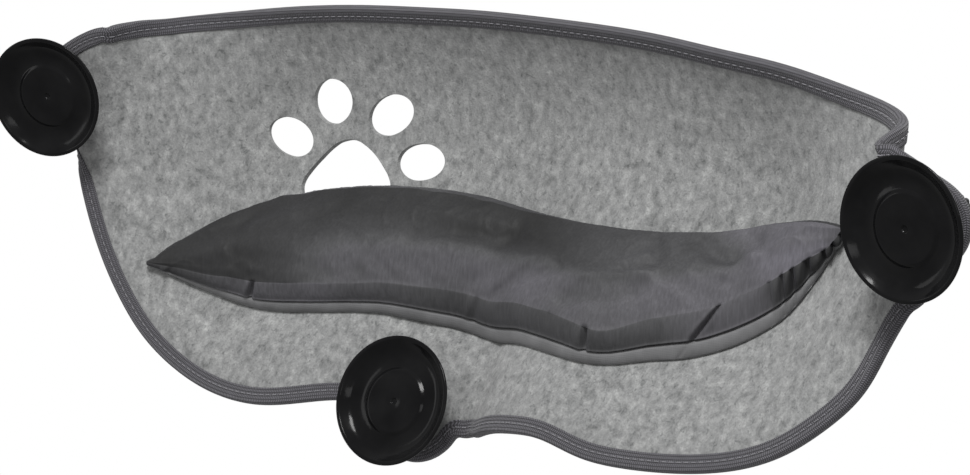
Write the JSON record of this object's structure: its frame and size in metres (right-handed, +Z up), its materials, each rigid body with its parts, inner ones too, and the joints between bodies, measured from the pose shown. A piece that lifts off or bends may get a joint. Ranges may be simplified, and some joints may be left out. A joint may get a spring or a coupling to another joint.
{
  "type": "window mounted cat bed",
  "caption": "Felt sling bed for a cat, hung on a window pane by suction cups with screw nuts, with a loose fabric pad and a see-through paw cut-out.",
  "frame": {"origin": "on the glass pane, half way between the lip centres of the two upper suction cups", "axes": "+X along the pane to the right as seen from the side that the cups face, +Y from the pane into the room, +Z up"},
  "size_m": [0.7608, 0.1445, 0.2857],
  "materials": {
    "felt": "needled polyester felt, heather grey",
    "binding_tape": "ribbed polyester binding tape, dark grey",
    "eyelet_metal": "black lacquered eyelet",
    "cup_pvc": "glossy black soft PVC",
    "steel": "zinc plated steel",
    "nut_plastic": "black moulded plastic",
    "pad_cover": "dark grey brushed woven polyester",
    "pad_under": "mid grey woven polyester",
    "pad_fill": "polyester wadding"
  },
  "bodies": {
    "sling": {"felt_shell": "felt", "rim_binding": "binding_tape", "lower_binding_left": "binding_tape", "lower_binding_right": "binding_tape"},
    "tab_left": {"felt_tab_left": "felt", "tab_binding_left": "binding_tape", "eyelet_left": "eyelet_metal", "eyelet_ring_left": "eyelet_metal"},
    "cup_left": {"suction_cup_left": "cup_pvc", "stud_left": "steel"},
    "washer_left": {"washer_left": "steel"},
    "nut_left": {"nut_left": "nut_plastic"},
    "tab_right": {"felt_tab_right": "felt", "tab_binding_right": "binding_tape", "eyelet_right": "eyelet_metal", "eyelet_ring_right": "eyelet_metal"},
    "cup_right": {"suction_cup_right": "cup_pvc", "stud_right": "steel"},
    "washer_right": {"washer_right": "steel"},
    "nut_right": {"nut_right": "nut_plastic"},
    "tab_bottom": {"felt_tab_bottom": "felt", "tab_binding_bottom": "binding_tape", "eyelet_bottom": "eyelet_metal", "eyelet_ring_bottom": "eyelet_metal"},
    "cup_bottom": {"suction_cup_bottom": "cup_pvc", "stud_bottom": "steel"},
    "washer_bottom": {"washer_bottom": "steel"},
    "nut_bottom": {"nut_bottom": "nut_plastic"},
    "pad": {"pad_top_cover": "pad_cover", "pad_bottom_cover": "pad_under", "pad_front_band": "pad_cover", "pad_back_band": "pad_cover", "pad_filling": "pad_fill"}
  },
  "joints": [
    {"name": "tab_flex_left", "type": "hinge", "parent": "sling", "child": "tab_left", "pos_m": [-0.32383, 0.03864, -0.00355], "axis": [-0.25, 0.008, -0.9682], "range_deg": [-8, 20], "stiffness_Nm_per_rad": 2.5},
    {"name": "cup_spin_left", "type": "hinge", "parent": "tab_left", "child": "cup_left", "pos_m": [-0.3385, 0, 0], "axis": [0.2521, -0.9605, -0.1181], "continuous": true},
    {"name": "nut_travel_left", "type": "slide", "parent": "cup_left", "child": "washer_left", "axis": [-0.2521, 0.9605, 0.1181], "range_m": [0, 0.0061]},
    {"name": "nut_turn_left", "type": "hinge", "parent": "washer_left", "child": "nut_left", "pos_m": [-0.35035, 0.04514, 0.00555], "axis": [-0.2521, 0.9605, 0.1181], "range_deg": [0, 1440]},
    {"name": "tab_flex_right", "type": "hinge", "parent": "sling", "child": "tab_right", "pos_m": [0.31934, 0.03843, -0.00693], "axis": [-0.2385, 0.0266, 0.9708], "range_deg": [-12, 12], "stiffness_Nm_per_rad": 2.5},
    {"name": "cup_spin_right", "type": "hinge", "parent": "tab_right", "child": "cup_right", "pos_m": [0.3385, 0, 0], "axis": [-0.1301, -0.9914, -0.016], "continuous": true},
    {"name": "nut_travel_right", "type": "slide", "parent": "cup_right", "child": "washer_right", "axis": [0.1301, 0.9914, 0.016], "range_m": [0, 0.0061]},
    {"name": "nut_turn_right", "type": "hinge", "parent": "washer_right", "child": "nut_right", "pos_m": [0.34461, 0.04659, 0.00075], "axis": [0.1301, 0.9914, 0.016], "range_deg": [0, 1440]},
    {"name": "tab_flex_bottom", "type": "hinge", "parent": "sling", "child": "tab_bottom", "pos_m": [-0.03197, 0.04596, -0.14802], "axis": [0.9991, 0.0428, 0], "range_deg": [-8, 26], "stiffness_Nm_per_rad": 2.5},
    {"name": "cup_spin_bottom", "type": "hinge", "parent": "tab_bottom", "child": "cup_bottom", "pos_m": [-0.03, 0, -0.1623], "axis": [0.039, -0.9099, 0.413], "continuous": true},
    {"name": "nut_travel_bottom", "type": "slide", "parent": "cup_bottom", "child": "washer_bottom", "axis": [-0.039, 0.9099, -0.413], "range_m": [0, 0.0061]},
    {"name": "nut_turn_bottom", "type": "hinge", "parent": "washer_bottom", "child": "nut_bottom", "pos_m": [-0.03183, 0.04277, -0.18171], "axis": [-0.039, 0.9099, -0.413], "range_deg": [0, 1440]},
    {"name": "pad_lift_out", "type": "slide", "parent": "sling", "child": "pad", "axis": [0, -0.38, 0.925], "range_m": [0, 0.2]}
  ],
  "couplings": [
    {"joint": "nut_travel_left", "follows": "nut_turn_left", "m_per_rad": 0.00023873},
    {"joint": "nut_travel_right", "follows": "nut_turn_right", "m_per_rad": 0.00023873},
    {"joint": "nut_travel_bottom", "follows": "nut_turn_bottom", "m_per_rad": 0.00023873}
  ]
}
